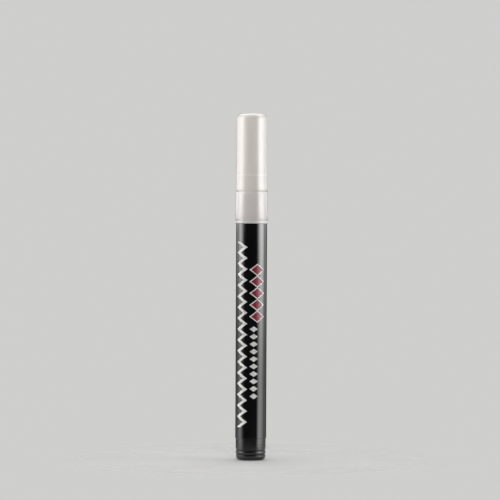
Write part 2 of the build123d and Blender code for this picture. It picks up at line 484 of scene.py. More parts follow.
@dataclass(frozen=True)
class Steel:
    """Bare steel with fine marks left along one direction by drawing or tumbling."""

    name: str
    tone: Colour
    shade: Colour
    gloss: Point
    mark: Size
    mark_depth: float = 0.0004 * MM

    def material(self) -> Material:
        """Lays out the finish.

        Returns:
            The material.
        """
        sheet = NodeSheet(self.name)
        marks = sheet.noise(self.mark, detail=4)
        sheet.colour(marks, list(zip(NOISE_SPAN, (self.shade, self.tone))))
        sheet.roughness(marks, self.gloss)
        sheet.relief(marks, self.mark_depth)
        sheet.fix(Metallic=1.0)
        return sheet.material


@dataclass(frozen=True)
class ScreenInk:
    """Screen ink on plastic: slightly uneven cover with pinholes, and a satin skin."""

    name: str
    tone: Colour
    shade: Colour
    cover: Size = (0.5 * MM, 0.5 * MM, 0.9 * MM)
    stops: Point = (0.3, 0.5)
    gloss: Point = (0.42, 0.3)
    grain: float = 0.12 * MM
    grain_depth: float = 0.001 * MM
    refraction: float = 1.48

    def material(self) -> Material:
        """Lays out the finish.

        Returns:
            The material.
        """
        sheet = NodeSheet(self.name)
        cover = sheet.noise(self.cover, detail=5, rough=0.6)
        sheet.colour(cover, list(zip(self.stops, (self.shade, self.tone))))
        sheet.roughness(cover, self.gloss)
        sheet.relief(sheet.noise((self.grain, self.grain, self.grain), detail=2), self.grain_depth)
        sheet.fix(IOR=self.refraction)
        return sheet.material


def pick_alone(piece: Piece) -> None:
    """Selects one piece and makes it the active one.

    Args:
        piece: the piece.
    """
    bpy.ops.object.select_all(action="DESELECT")
    piece.select_set(True)
    bpy.context.view_layer.objects.active = piece


def take_up(name: str) -> Piece:
    """Names the primitive that was just added and moves its place into its mesh.

    Args:
        name: the piece's name.

    Returns:
        The piece, at the origin.
    """
    piece = bpy.context.object
    piece.name = name
    piece.data.name = name
    bpy.ops.object.transform_apply(location=True, rotation=True, scale=True)
    return piece


@contextmanager
def editing(piece: Piece) -> Iterator[None]:
    """Opens a piece's mesh with all of it selected, and leaves edit mode afterwards.

    Args:
        piece: the piece.

    Yields:
        Nothing, while the mesh is open.
    """
    pick_alone(piece)
    bpy.ops.object.mode_set(mode="EDIT")
    bpy.ops.mesh.select_all(action="SELECT")
    yield
    bpy.ops.object.mode_set(mode="OBJECT")


def weld() -> None:
    """Merges the open mesh's doubles and turns its faces outwards."""
    bpy.ops.mesh.select_all(action="SELECT")
    bpy.ops.mesh.remove_doubles(threshold=WELD)
    bpy.ops.mesh.normals_make_consistent(inside=False)


class Lathe:
    """Turns one piece about the marker's axis, a ring at a time."""

    def __init__(self, name: str, sides: int = SIDES) -> None:
        """Names the piece.

        Args:
            name: the piece's name.
            sides: how many sides its rings have.
        """
        self.name = name
        self.sides = sides
        self.piece: Piece | None = None

    def turn(self, outline: list[Point]) -> None:
        """Runs a ring along an outline and leaves the piece open in edit mode.

        Args:
            outline: radius and height of each ring. A first or last radius of 0 closes the piece on its
                axis, and a last point equal to the first closes a hollow ring.
        """
        rings = outline if outline[0][0] > 0 else outline[1:]
        radius, height = rings[0]
        bpy.ops.object.select_all(action="DESELECT")
        bpy.ops.mesh.primitive_circle_add(vertices=self.sides, radius=radius, location=(0, 0, height))
        self.piece = take_up(self.name)
        bpy.ops.object.mode_set(mode="EDIT")
        bpy.ops.mesh.select_mode(type="EDGE")
        bpy.ops.mesh.select_all(action="SELECT")
        for here, there in zip(rings, rings[1:]):
            self.step(here, there)
        if rings is not outline:
            self.pick([rings[0]])
            self.step(rings[0], outline[0])
        weld()

    def step(self, here: Point, there: Point) -> None:
        """Extrudes the picked ring to its next place.

        Args:
            here: the ring's radius and height now.
            there: its next radius and height.
        """
        bpy.ops.mesh.extrude_region_move(TRANSFORM_OT_translate={"value": (0, 0, there[1] - here[1])})
        share = there[0] / here[0]
        bpy.ops.transform.resize(value=(share, share, 1), center_override=(0, 0, there[1]))

    def pick(self, places: list[Point]) -> None:
        """Selects whole rings by their radius and height.

        Args:
            places: the rings' radii and heights.
        """
        bpy.ops.mesh.select_all(action="DESELECT")
        mesh = bmesh.from_edit_mesh(self.piece.data)
        for edge in mesh.edges:
            spots = [(math.hypot(vertex.co.x, vertex.co.y), vertex.co.z) for vertex in edge.verts]
            if any(all(math.dist(spot, place) < NEAR for spot in spots) for place in places):
                edge.select_set(True)
        bmesh.update_edit_mesh(self.piece.data)

    def round(self, places: list[Point], size: float, segments: int = 4) -> None:
        """Rounds ring edges.

        Args:
            places: the rings' radii and heights.
            size: the rounding's radius.
            segments: how many faces it has.
        """
        self.pick(places)
        bpy.ops.mesh.bevel(offset=size, segments=segments, affect="EDGES")

    def finish(self) -> Piece:
        """Closes the piece's mesh.

        Returns:
            The turned piece, out of edit mode.
        """
        weld()
        bpy.ops.object.mode_set(mode="OBJECT")
        return self.piece


def apply_modifiers(piece: Piece) -> None:
    """Applies every modifier of a piece, first to last.

    Args:
        piece: the piece, out of edit mode.
    """
    pick_alone(piece)
    for name in [modifier.name for modifier in piece.modifiers]:
        bpy.ops.object.modifier_apply(modifier=name)


def shade(piece: Piece) -> None:
    """Shades a piece smooth across its rounded edges, and lets its broad faces set the normals there.

    Args:
        piece: the piece, out of edit mode.
    """
    pick_alone(piece)
    bpy.ops.object.shade_smooth_by_angle(angle=SMOOTH_ANGLE)
    broad = piece.modifiers.new("broad", "WEIGHTED_NORMAL")
    broad.keep_sharp = True
    apply_modifiers(piece)


def settle(piece: Piece, body: Body, slot: Slot, material: Material, *nodes: str) -> None:
    """Dresses a finished piece, puts it on its body and hides the nodes that it stands for.

    Args:
        piece: the piece.
        body: the body that it rides on.
        slot: the record's slot for its finish; not used.
        material: its finish.
        nodes: the nodes that it replaces, if any.
    """
    shade(piece)
    piece.data.materials.clear()
    piece.data.materials.append(material)
    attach(piece, body.value)
    if nodes:
        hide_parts(*nodes)
    log.info("built %s: %d faces", piece.name, len(piece.data.polygons))


def dress_node(node: str, material: Material) -> None:
    """Gives a carried-over node its finish.

    Args:
        node: the node's name.
        material: its finish.
    """
    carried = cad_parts[node]
    carried.data.materials.clear()
    carried.data.materials.append(material)
    log.info("dressed %s", node)


def through(spots: list[Point], place: float) -> float:
    """The value at a place on the parabola through three spots.

    Args:
        spots: three pairs of place and value.
        place: where the value is wanted.

    Returns:
        The value there.
    """
    total = 0.0
    for spot, value in spots:
        weight = 1.0
        for other, _ in spots:
            if other != spot:
                weight *= (place - other) / (spot - other)
        total += value * weight
    return total


@dataclass(frozen=True)
class RibRing:
    """Straight ribs on the inside of a wall, spaced evenly round the axis."""

    name: str
    count: int
    width: float
    inner: float
    outer: float
    low: float
    high: float
    edge: float = 0.15 * MM

    def build(self, body: Body, slot: Slot, finish: Material) -> None:
        """Models one rib, copies it round the axis and dresses them all.

        Args:
            body: the body that the ribs ride on.
            slot: their material slot.
            finish: their finish.
        """
        rib = self.model()
        settle(rib, body, slot, finish)
        for index in range(1, self.count):
            settle(self.copy(rib, index), body, slot, finish)

    def model(self) -> Piece:
        """Models the first rib.

        Returns:
            The rib.
        """
        middle = ((self.inner + self.outer) / 2, 0.0, (self.low + self.high) / 2)
        bpy.ops.object.select_all(action="DESELECT")
        bpy.ops.mesh.primitive_cube_add(size=1.0, location=middle)
        rib = take_up(f"{self.name}_1")
        size = (self.outer - self.inner, self.width, self.high - self.low)
        with editing(rib):
            bpy.ops.transform.resize(value=size, center_override=middle)
            bpy.ops.mesh.bevel(offset=self.edge, segments=2, affect="EDGES")
        return rib

    def copy(self, rib: Piece, index: int) -> Piece:
        """Copies the rib and turns the copy to its place.

        Args:
            rib: the first rib.
            index: how many places round the copy stands.

        Returns:
            The copy.
        """
        copy = bpy.data.objects.new(f"{self.name}_{index + 1}", rib.data.copy())
        bpy.context.collection.objects.link(copy)
        turn = 2 * math.pi * index / self.count
        with editing(copy):
            bpy.ops.transform.rotate(value=turn, orient_axis="Z", center_override=(0, 0, 0))
        return copy


@dataclass
class BarrelTube:
    """The gloss black tube."""

    wall: float = 1.0 * MM
    edge: float = 0.08 * MM
    finish: GlossTube = GlossTube(
        name="barrel_gloss_black",
        tone=(0.008, 0.008, 0.009, 1.0),
        shade=(0.004, 0.004, 0.005, 1.0),
        gloss=(0.05, 0.12),
    )

    def build(self) -> Piece:
        """Turns the tube and dresses it.

        Returns:
            The tube, for the print to lie on.
        """
        low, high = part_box("barrel")
        radius = high.x
        bore = radius - self.wall
        rear, front = (radius, low.z), (radius, high.z)
        lathe = Lathe("barrel_tube")
        lathe.turn([(bore, low.z), rear, front, (bore, high.z), (bore, low.z)])
        lathe.round([rear, front], self.edge)
        tube = lathe.finish()
        settle(tube, Body.MARKER, Slot.BARREL, self.finish.material(), "barrel")
        return tube


@dataclass
class RearPlug:
    """The rear plug: a head with two ring grooves and a rounded end, and a hollow spigot."""

    end_round: float = 1.7 * MM
    edge: float = 0.15 * MM
    groove_heights: tuple[float, ...] = (2.2 * MM, 3.85 * MM)
    groove_width: float = 0.6 * MM
    groove_depth: float = 0.35 * MM
    groove_edge: float = 0.07 * MM
    dimple_radius: float = 1.2 * MM
    dimple_depth: float = 0.4 * MM
    gate_radius: float = 0.4 * MM
    gate_height: float = 0.15 * MM
    wall: float = 1.1 * MM
    floor: float = 2.0 * MM
    head_radius: float = 6.05 * MM
    spigot_radius: float = 5.2 * MM
    lead_in: float = 0.3 * MM
    finish: MouldedPlastic = MouldedPlastic(
        name="plug_semi_gloss_black",
        tone=(0.009, 0.009, 0.010, 1.0),
        shade=(0.005, 0.005, 0.006, 1.0),
        gloss=(0.12, 0.2),
        refraction=1.6,
        peel=0.22 * MM,
        peel_depth=0.0016 * MM,
    )

    def build(self) -> None:
        """Turns the plug and dresses it."""
        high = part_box("rear_plug")[1]
        head_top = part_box("barrel")[0].z
        foot, seam = (self.head_radius, 0.0), (self.head_radius, head_top)
        gate_top = self.dimple_depth - self.gate_height
        bore = self.spigot_radius - self.wall
        outline = [
            (0.0, gate_top),
            (self.gate_radius, gate_top),
            (self.gate_radius, self.dimple_depth),
            (self.dimple_radius / 2, self.dimple_depth),
            (self.dimple_radius, 0.0),
            foot,
        ]
        grooves = []
        for height in self.groove_heights:
            grooves += self.groove(height)
        outline += grooves
        outline += [
            seam,
            (self.spigot_radius, head_top),
            (self.spigot_radius, high.z - self.lead_in),
            (self.spigot_radius - self.lead_in, high.z),
            (bore, high.z),
            (bore, self.floor),
            (0.0, self.floor),
        ]
        lathe = Lathe("rear_plug_moulding")
        lathe.turn(outline)
        lathe.round([foot], self.end_round, segments=10)
        lathe.round([seam], self.edge)
        lathe.round(grooves, self.groove_edge, segments=3)
        settle(lathe.finish(), Body.MARKER, Slot.PLUG, self.finish.material(), "rear_plug")

    def groove(self, height: float) -> list[Point]:
        """One groove round the head.

        Args:
            height: its middle.

        Returns:
            The groove's outline.
        """
        half = self.groove_width / 2
        return [
            (self.head_radius, height - half),
            (self.head_radius - self.groove_depth, height),
            (self.head_radius, height + half),
        ]


@dataclass
class FrontSection:
    """The white front moulding: spigot, flange, cap land, neck, vented collar and nib guides."""

    barrel_wall_line: float = 95.6 * MM
    flange_top: float = 96.8 * MM
    land_radius: float = 5.5 * MM
    land_top: float = 102.8 * MM
    land_step: float = 0.85 * MM
    bead_height: float = 100.0 * MM
    bead_width: float = 1.4 * MM
    bead_proud: float = 0.06 * MM
    neck_radius: float = 4.65 * MM
    neck_top: float = 115.2 * MM
    collar_base: float = 117.5 * MM
    collar_base_radius: float = 3.13 * MM
    collar_tip_radius: float = 3.0 * MM
    collar_chamfer: float = 0.4 * MM
    nib_bore: float = 1.58 * MM
    feed_radius: float = 3.2 * MM
    feed_cone_base: float = 114.7 * MM
    feed_cone_length: float = 2.3 * MM
    chamber_radius: float = 4.2 * MM
    chamber_top: float = 100.6 * MM
    spigot_radius: float = 5.2 * MM
    lead_in: float = 0.3 * MM
    flange_edge: float = 0.07 * MM
    land_edge: float = 0.2 * MM
    shoulder_round: float = 0.7 * MM
    collar_foot_round: float = 0.3 * MM
    tip_edge: float = 0.12 * MM
    vent_count: int = 4
    vent_width: float = 0.6 * MM
    vent_depth: float = 0.35 * MM
    vent_clear: float = 1.0 * MM
    guide_count: int = 4
    guide_width: float = 0.8 * MM
    guide_low: float = 104.0 * MM
    guide_root: float = 0.2 * MM
    finish: MouldedPlastic = MouldedPlastic(
        name="section_white_moulded",
        tone=(0.80, 0.78, 0.745, 1.0),
        shade=(0.66, 0.63, 0.58, 1.0),
        gloss=(0.21, 0.26),
    )

    def build(self) -> None:
        """Turns the moulding, cuts its air vents, adds its guide ribs and dresses it."""
        low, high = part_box("front_section")
        tip, flange_radius = high.z, high.x
        flange_low = (flange_radius, self.barrel_wall_line)
        flange_high = (flange_radius, self.flange_top)
        shoulder = (self.neck_radius, self.neck_top)
        collar_foot = (self.collar_base_radius, self.collar_base)
        chamfer_low = (self.collar_tip_radius, tip - self.collar_chamfer)
        chamfer_high = (self.collar_tip_radius - self.collar_chamfer, tip)
        land_high = (self.land_radius, self.land_top)
        half_bead = self.bead_width / 2
        crest = (self.land_radius + self.bead_proud, self.bead_height)
        lathe = Lathe("front_section_moulding")
        lathe.turn([
            (self.nib_bore, tip),
            chamfer_high,
            chamfer_low,
            collar_foot,
            shoulder,
            (self.neck_radius, self.land_top + self.land_step),
            land_high,
            (self.land_radius, self.bead_height + half_bead),
            crest,
            (self.land_radius, self.bead_height - half_bead),
            (self.land_radius, self.flange_top),
            flange_high,
            flange_low,
            (self.spigot_radius, self.barrel_wall_line),
            (self.spigot_radius, low.z + self.lead_in),
            (self.spigot_radius - self.lead_in, low.z),
            (self.chamber_radius, low.z),
            (self.chamber_radius, self.chamber_top),
            (self.feed_radius, self.chamber_top),
            (self.feed_radius, self.feed_cone_base),
            (self.nib_bore, self.feed_cone_base + self.feed_cone_length),
            (self.nib_bore, tip),
        ])
        lathe.round([flange_low, flange_high], self.flange_edge)
        lathe.round([land_high, crest], self.land_edge)
        lathe.round([shoulder], self.shoulder_round, segments=6)
        lathe.round([collar_foot], self.collar_foot_round)
        lathe.round([chamfer_low, chamfer_high], self.tip_edge, segments=3)
        section = lathe.finish()
        self.cut_vents(section, tip)
        finish = self.finish.material()
        settle(section, Body.MARKER, Slot.SECTION, finish, "front_section")
        guides = RibRing(
            name="nib_guide_rib",
            count=self.guide_count,
            width=self.guide_width,
            inner=self.nib_bore,
            outer=self.feed_radius + self.guide_root,
            low=self.guide_low,
            high=self.feed_cone_base,
        )
        guides.build(Body.MARKER, Slot.SECTION, finish)

    def cut_vents(self, section: Piece, tip: float) -> None:
        """Cuts the air vents beside the nib into the collar's end.

        Args:
            section: the moulding.
            tip: the collar's end.
        """
        reach = self.nib_bore + self.vent_depth
        low = self.feed_cone_base + self.feed_cone_length
        middle = (low + tip) / 2
        bpy.ops.object.select_all(action="DESELECT")
        bpy.ops.mesh.primitive_cube_add(size=1.0, location=(0, 0, middle + self.vent_clear))
        cutter = bpy.context.object
        bpy.ops.object.mode_set(mode="EDIT")
        bpy.ops.transform.resize(value=(2 * reach, self.vent_width, tip - low + 2 * self.vent_clear))
        for index in range(1, self.vent_count // 2):
            turn = 2 * math.pi * index / self.vent_count
            bpy.ops.mesh.duplicate()
            bpy.ops.transform.rotate(value=turn, orient_axis="Z", center_override=(0, 0, middle))
        bpy.ops.object.mode_set(mode="OBJECT")
        cut = section.modifiers.new("vents", "BOOLEAN")
        cut.operation = "DIFFERENCE"
        cut.solver = "EXACT"
        cut.use_self = True
        cut.object = cutter
        apply_modifiers(section)
        bpy.data.objects.remove(cutter)


@dataclass
class Nib:
    """The bullet nib of bonded fibre."""

    tip_length: float = 1.9 * MM
    tip_rings: int = 10
    sides: int = 96
    rear_chamfer: float = 0.4 * MM
    finish: BondedFibre = BondedFibre(
        name="nib_bonded_fibre",
        tone=(0.86, 0.85, 0.82, 1.0),
        shade=(0.62, 0.60, 0.56, 1.0),
    )

    def build(self) -> None:
        """Turns the nib and dresses it."""
        low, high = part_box("nib")
        radius = high.x
        chamfer = self.rear_chamfer
        outline = [(0.0, low.z), (radius - chamfer, low.z), (radius, low.z + chamfer)]
        for index in range(self.tip_rings):
            angle = math.pi / 2 * index / self.tip_rings
            height = high.z - self.tip_length * (1 - math.sin(angle))
            outline.append((radius * math.cos(angle), height))
        outline.append((0.0, high.z))
        lathe = Lathe("nib_rod", sides=self.sides)
        lathe.turn(outline)
        settle(lathe.finish(), Body.NIB, Slot.NIB, self.finish.material(), "nib")


@dataclass
class Cap:
    """The white push-on cap: flared skirt, fine step and crease, rounded end and ribs inside."""

    skirt_height: float = 6.4 * MM
    skirt_inset: float = 0.05 * MM
    step_height: float = 11.4 * MM
    step_inset: float = 0.2 * MM
    step_depth: float = 0.06 * MM
    step_groove_depth: float = 0.02 * MM
    step_groove_width: float = 0.09 * MM
    step_groove_share: float = 0.4
    # painted highlight: how far under the step its pale line lies
    step_highlight_offset: float = 0.25 * MM
    flare_height: float = 18.3 * MM
    flare_inset: float = 0.35 * MM
    crease_depth: float = 0.012 * MM
    crease_width: float = 0.16 * MM
    top_inset: float = 0.5 * MM
    top_round: float = 1.6 * MM
    top_fall: float = 0.04 * MM
    top_clear: float = 1.5
    gate_radius: float = 0.8 * MM
    gate_depth: float = 0.12 * MM
    gate_share: float = 0.8
    skirt_wall: float = 0.95 * MM
    lead_in: float = 0.3 * MM
    bore_top: float = 104.45 * MM
    hollow_radius: float = 5.1 * MM
    top_wall: float = 1.4 * MM
    mouth_edge: float = 0.08 * MM
    rib_count: int = 6
    rib_width: float = 0.8 * MM
    rib_low: float = 121.5 * MM
    rib_root: float = 0.2 * MM
    liner_gap: float = 0.05 * MM
    ring_pitch: float = 1.2 * MM

    def build(self) -> None:
        """Turns the cap, adds its ribs and dresses it and its liner."""
        low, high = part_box("cap_shell")
        mouth, top = low.z, high.z
        finish = MouldedPlastic(
            name="cap_gloss_white",
            tone=(0.82, 0.77, 0.715, 1.0),
            shade=(0.60, 0.55, 0.49, 1.0),
            gloss=(0.10, 0.18),
            # painted shade: a dark line in the step's groove
            painted_shade_heights=(mouth + self.step_height + self.step_groove_width / 2,),
            # painted highlights: a pale line under the step and one at the crease
            painted_highlight_heights=(mouth + self.step_height - self.step_highlight_offset, mouth + self.flare_height),
            # painted shade: a greyer tint on the skirt below the step
            painted_shade_below=mouth + self.step_height,
        ).material()
        settle(self.turn_shell(mouth, top), Body.CAP, Slot.CAP, finish, "cap_shell")
        ribs = RibRing(
            name="cap_liner_rib",
            count=self.rib_count,
            width=self.rib_width,
            inner=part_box("cap_liner")[1].x + self.liner_gap,
            outer=self.hollow_radius + self.rib_root,
            low=self.rib_low,
            high=top - self.top_wall,
        )
        ribs.build(Body.CAP, Slot.CAP, finish)
        liner = MouldedPlastic(
            name="liner_natural_moulded",
            tone=(0.78, 0.77, 0.74, 1.0),
            shade=(0.62, 0.60, 0.56, 1.0),
            gloss=(0.36, 0.5),
        )
        dress_node("cap_liner", liner.material())

    def turn_shell(self, mouth: float, top: float) -> Piece:
        """Turns the shell, inside and out.

        Args:
            mouth: height of the cap's mouth.
            top: height of its end.

        Returns:
            The shell.
        """
        rim_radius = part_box("front_section")[1].x
        bore = rim_radius - self.skirt_wall
        top_radius = rim_radius - self.top_inset
        rim = (rim_radius, mouth)
        corner = (top_radius, top - self.top_fall)
        lathe = Lathe("cap_moulding")
        lathe.turn([
            (0.0, top - self.top_wall),
            (self.hollow_radius, top - self.top_wall),
            (self.hollow_radius, self.bore_top),
            (bore, self.bore_top),
            (bore, mouth + self.lead_in),
            (bore + self.lead_in, mouth),
            rim,
            *self.skirt(rim_radius, mouth),
            *self.upper_wall(rim_radius, mouth, top),
            corner,
            (self.gate_radius, top),
            (self.gate_radius * self.gate_share, top - self.gate_depth),
            (0.0, top - self.gate_depth),
        ])
        lathe.round([rim], self.mouth_edge)
        lathe.round([corner], self.top_round, segments=12)
        return lathe.finish()

    def skirt(self, rim_radius: float, mouth: float) -> list[Point]:
        """The skirt's rings, from above the rim to the step.

        Args:
            rim_radius: radius at the mouth.
            mouth: height of the mouth.

        Returns:
            The rings.
        """
        spots = [(0.0, 0.0), (self.skirt_height, self.skirt_inset), (self.step_height, self.step_inset)]
        count = round(self.step_height / self.ring_pitch)
        heights = [self.step_height * index / count for index in range(1, count + 1)]
        return [(rim_radius - max(0.0, through(spots, height)), mouth + height) for height in heights]

    def upper_wall(self, rim_radius: float, mouth: float, top: float) -> list[Point]:
        """The wall's rings above the step, with the step's groove and the crease where the flare ends.

        Args:
            rim_radius: radius at the mouth.
            mouth: height of the mouth.
            top: height of the cap's end.

        Returns:
            The rings.
        """
        length = top - mouth
        start = self.step_height + self.step_groove_width
        spots = [
            (self.step_height, self.step_inset + self.step_depth),
            (self.flare_height, self.flare_inset),
            (length - self.top_round, self.top_inset),
        ]
        foot = rim_radius - through(spots, self.step_height)
        groove = self.step_height + self.step_groove_width * self.step_groove_share
        rings = [(foot - self.step_groove_depth, mouth + groove)]
        end = length - self.top_round * self.top_clear
        count = round((end - start) / self.ring_pitch)
        heights = [start + (end - start) * index / count for index in range(count + 1)]
        heights = [height for height in heights if abs(height - self.flare_height) > self.crease_width]
        half = self.crease_width / 2
        crease = [self.flare_height - half, self.flare_height, self.flare_height + half]
        for height in sorted(heights + crease):
            sink = self.crease_depth if height == self.flare_height else 0.0
            rings.append((rim_radius - through(spots, height) - sink, mouth + height))
        return rings


@dataclass
class PumpValve:
    """The sprung pump valve in the front section: seat, stem, windowed cage and coil spring."""

    wire: float = 0.4 * MM
    turns: int = 6
    wire_sides: int = 16
    steps_a_turn: int = 64
    cage_floor: float = 80.6 * MM
    pressed_share: float = 0.878

    def build(self) -> None:
        """Winds the spring and dresses the valve's other pieces."""
        natural = MouldedPlastic(
            name="valve_natural_moulded",
            tone=(0.74, 0.72, 0.66, 1.0),
            shade=(0.56, 0.53, 0.46, 1.0),
            gloss=(0.38, 0.52),
        ).material()
        rubber = MouldedPlastic(
            name="seat_soft_rubber",
            tone=(0.08, 0.08, 0.085, 1.0),
            shade=(0.035, 0.035, 0.038, 1.0),
            gloss=(0.6, 0.75),
            peel=0.12 * MM,
            peel_depth=0.003 * MM,
        ).material()
        for node, finish in (("valve_cage", natural), ("valve_stem", natural), ("valve_seat", rubber)):
            dress_node(node, finish)
        self.wind_spring()

    def wind_spring(self) -> None:
        """Winds the round wire, closes its ends and dresses it."""
        low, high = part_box("valve_spring")
        radius = high.x - self.wire / 2
        start = low.z + self.wire / 2
        length = high.z - low.z - self.wire
        bpy.ops.object.select_all(action="DESELECT")
        bpy.ops.mesh.primitive_circle_add(
            vertices=self.wire_sides,
            radius=self.wire / 2,
            location=(radius, 0, start),
            rotation=(math.pi / 2, 0, 0),
        )
        spring = take_up("valve_spring_coil")
        coil = spring.modifiers.new("coil", "SCREW")
        coil.axis = "Z"
        coil.angle = 2 * math.pi
        coil.iterations = self.turns
        coil.screw_offset = length / self.turns
        coil.steps = self.steps_a_turn
        coil.render_steps = self.steps_a_turn
        apply_modifiers(spring)
        with editing(spring):
            for end in (start, start + length):
                self.close_end(spring, end)
            weld()
        steel = Steel(
            name="spring_drawn_wire",
            tone=(0.62, 0.62, 0.63, 1.0),
            shade=(0.42, 0.42, 0.43, 1.0),
            gloss=(0.22, 0.36),
            mark=(0.3 * MM, 0.3 * MM, 0.05 * MM),
        )
        settle(spring, Body.MARKER, Slot.SPRING, steel.material(), "valve_spring")
        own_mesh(spring)

    def close_end(self, spring: Piece, end: float) -> None:
        """Fills the wire's cut end.

        Args:
            spring: the coil, in edit mode.
            end: height of the cut end's middle.
        """
        bpy.ops.mesh.select_mode(type="EDGE")
        bpy.ops.mesh.select_all(action="DESELECT")
        mesh = bmesh.from_edit_mesh(spring.data)
        for edge in mesh.edges:
            middle = (edge.verts[0].co.z + edge.verts[1].co.z) / 2
            if edge.is_boundary and abs(middle - end) < self.wire:
                edge.select_set(True)
        bmesh.update_edit_mesh(spring.data)
        bpy.ops.mesh.edge_face_add()


@dataclass
class MixingBall:
    """The loose steel ball."""

    sides: int = 72
    rings: int = 36
    finish: Steel = Steel(
        name="ball_polished_steel",
        tone=(0.64, 0.64, 0.65, 1.0),
        shade=(0.5, 0.5, 0.51, 1.0),
        gloss=(0.06, 0.16),
        mark=(0.4 * MM, 0.4 * MM, 0.4 * MM),
    )

    def build(self) -> None:
        """Turns the ball and dresses it."""
        low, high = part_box("mixing_ball")
        radius, middle = (high.z - low.z) / 2, (low.z + high.z) / 2
        outline = [(0.0, low.z)]
        for index in range(1, self.rings):
            angle = math.pi * (index / self.rings - 0.5)
            outline.append((radius * math.cos(angle), middle + radius * math.sin(angle)))
        outline.append((0.0, high.z))
        lathe = Lathe("mixing_ball_sphere", sides=self.sides)
        lathe.turn(outline)
        settle(lathe.finish(), Body.BALL, Slot.BALL, self.finish.material(), "mixing_ball")


@dataclass(frozen=True)
class Band:
    """A band of print: one motif, repeated up the barrel from a low place.

    The bearing is in degrees to the right of the front. Width runs across the barrel, length along it.
    """

    name: str
    bearing: float
    low: float
    pitch: float
    count: int
    width: float
    length: float


